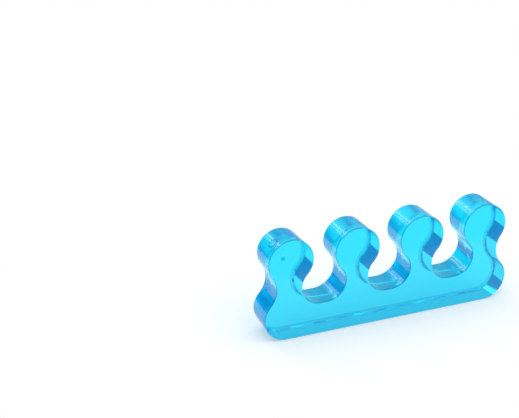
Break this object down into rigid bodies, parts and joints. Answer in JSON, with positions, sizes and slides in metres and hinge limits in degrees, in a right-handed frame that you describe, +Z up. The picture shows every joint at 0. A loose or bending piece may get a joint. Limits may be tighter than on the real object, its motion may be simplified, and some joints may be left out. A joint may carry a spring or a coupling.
{
  "type": "toe separator",
  "caption": "One-piece clear blue gel toe separator: a flat base bar with rounded end lobes and a row of round heads on narrow necks, with a rounded gap for a toe between each pair.",
  "frame": {"origin": "the middle of the flat base, halfway through the thickness", "axes": "+X along the length, +Y through the thickness away from the front face, +Z up from the base to the heads"},
  "size_m": [0.0856, 0.0116, 0.0345],
  "materials": {
    "gel": "clear blue soft gel with a smooth, glossy moulded surface"
  },
  "bodies": {
    "root": {"toe_separator": "gel"}
  },
  "joints": []
}
